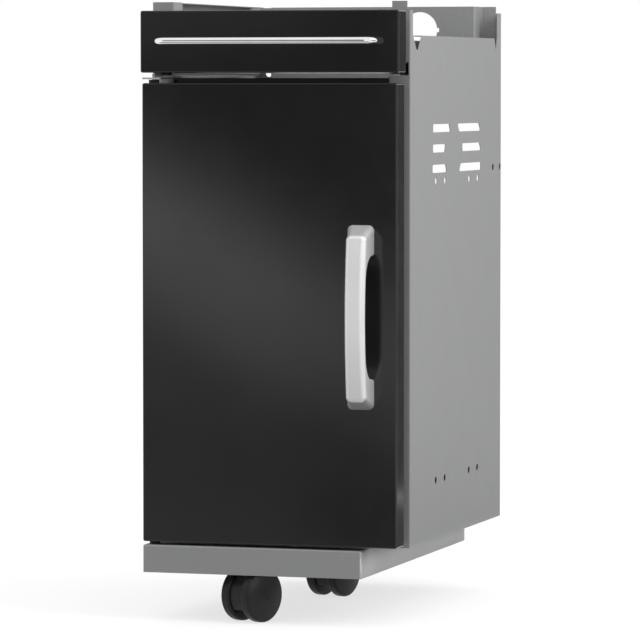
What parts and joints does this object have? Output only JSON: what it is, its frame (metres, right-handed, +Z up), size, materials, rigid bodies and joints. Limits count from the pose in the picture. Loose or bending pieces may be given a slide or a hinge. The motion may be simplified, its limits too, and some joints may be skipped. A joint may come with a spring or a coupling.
{
  "type": "grill side cabinet",
  "caption": "Narrow grill side cabinet: folded steel body open at the top, hinged black door with an arched handle, shallow drawer with a bar handle, base tray on twin-wheel castors.",
  "frame": {"origin": "on the floor, under the middle of the bounding box", "axes": "+Z up, +X to the right seen from the front, +Y to the back, so the door faces -Y"},
  "size_m": [0.382, 0.6134, 0.878],
  "materials": {
    "silver_paint": "silver-grey powder coat, satin with a fine metallic grain",
    "black_enamel": "gloss black enamel",
    "satin_aluminium": "satin silver, finely blasted",
    "chrome": "polished chrome plate",
    "zinc_steel": "bright zinc-plated steel",
    "black_plastic": "moulded black polyamide, low sheen",
    "nylon": "dark nylon, low sheen"
  },
  "bodies": {
    "cabinet": {"left_side_panel": "silver_paint", "right_side_panel": "silver_paint", "rear_upper_panel": "silver_paint", "rear_lower_panel": "silver_paint", "cabinet_floor": "silver_paint", "front_top_rail": "black_enamel", "base_tray": "silver_paint", "floor_screws": "zinc_steel", "rear_panel_screws": "zinc_steel", "top_hinge_plate": "zinc_steel", "hinge_plate_screws": "zinc_steel", "top_hinge_pin": "zinc_steel", "bottom_hinge_pin": "zinc_steel", "hinge_washer": "nylon", "magnet_catch": "black_plastic", "left_slide_bracket": "zinc_steel", "left_slide_outer": "zinc_steel", "right_slide_bracket": "zinc_steel", "right_slide_outer": "zinc_steel", "front_castor_beam": "zinc_steel", "front_castor_plate": "zinc_steel", "front_castor_screws": "zinc_steel", "rear_castor_beam": "zinc_steel", "rear_castor_plate": "zinc_steel", "rear_castor_screws": "zinc_steel"},
    "door": {"door_skin": "black_enamel", "door_liner": "black_enamel", "hinge_blocks": "zinc_steel", "top_hinge_bush": "nylon", "bottom_hinge_bush": "nylon", "door_handle": "satin_aluminium", "handle_screws": "zinc_steel", "strike_plate": "zinc_steel"},
    "drawer": {"drawer_front": "black_enamel", "drawer_front_backing": "black_enamel", "drawer_box": "zinc_steel", "drawer_bar": "chrome", "bar_screws": "zinc_steel", "left_slide_inner": "zinc_steel", "right_slide_inner": "zinc_steel"},
    "left_slide_carriage": {"left_slide_middle": "zinc_steel"},
    "right_slide_carriage": {"right_slide_middle": "zinc_steel"},
    "front_castor": {"front_castor_hood": "black_plastic", "front_castor_axle": "zinc_steel"},
    "front_left_wheel": {"front_castor_left_wheel": "black_plastic"},
    "front_right_wheel": {"front_castor_right_wheel": "black_plastic"},
    "rear_castor": {"rear_castor_hood": "black_plastic", "rear_castor_axle": "zinc_steel"},
    "rear_left_wheel": {"rear_castor_left_wheel": "black_plastic"},
    "rear_right_wheel": {"rear_castor_right_wheel": "black_plastic"}
  },
  "joints": [
    {"name": "door_hinge", "type": "hinge", "parent": "cabinet", "child": "door", "pos_m": [-0.1755, -0.23525, 0.438], "axis": [0, 0, -1], "range_deg": [0, 110]},
    {"name": "drawer_slide", "type": "slide", "parent": "cabinet", "child": "drawer", "axis": [0, -1, 0], "range_m": [0, 0.33]},
    {"name": "left_carriage_slide", "type": "slide", "parent": "cabinet", "child": "left_slide_carriage", "axis": [0, -1, 0], "range_m": [0, 0.165]},
    {"name": "right_carriage_slide", "type": "slide", "parent": "cabinet", "child": "right_slide_carriage", "axis": [0, -1, 0], "range_m": [0, 0.165]},
    {"name": "front_castor_swivel", "type": "hinge", "parent": "cabinet", "child": "front_castor", "pos_m": [-0.0255, -0.19125, 0.075], "axis": [0, 0, 1], "continuous": true},
    {"name": "front_left_wheel_spin", "type": "hinge", "parent": "front_castor", "child": "front_left_wheel", "pos_m": [-0.03689, -0.21683, 0.038], "axis": [0.9135, -0.4067, 0], "continuous": true},
    {"name": "front_right_wheel_spin", "type": "hinge", "parent": "front_castor", "child": "front_right_wheel", "pos_m": [-0.03689, -0.21683, 0.038], "axis": [0.9135, -0.4067, 0], "continuous": true},
    {"name": "rear_castor_swivel", "type": "hinge", "parent": "cabinet", "child": "rear_castor", "pos_m": [-0.0255, 0.09275, 0.075], "axis": [0, 0, 1], "continuous": true},
    {"name": "rear_left_wheel_spin", "type": "hinge", "parent": "rear_castor", "child": "rear_left_wheel", "pos_m": [-0.01778, 0.11967, 0.038], "axis": [0.9613, -0.2756, 0], "continuous": true},
    {"name": "rear_right_wheel_spin", "type": "hinge", "parent": "rear_castor", "child": "rear_right_wheel", "pos_m": [-0.01778, 0.11967, 0.038], "axis": [0.9613, -0.2756, 0], "continuous": true}
  ],
  "couplings": [
    {"joint": "left_carriage_slide", "follows": "drawer_slide", "ratio": 0.5},
    {"joint": "right_carriage_slide", "follows": "drawer_slide", "ratio": 0.5}
  ]
}
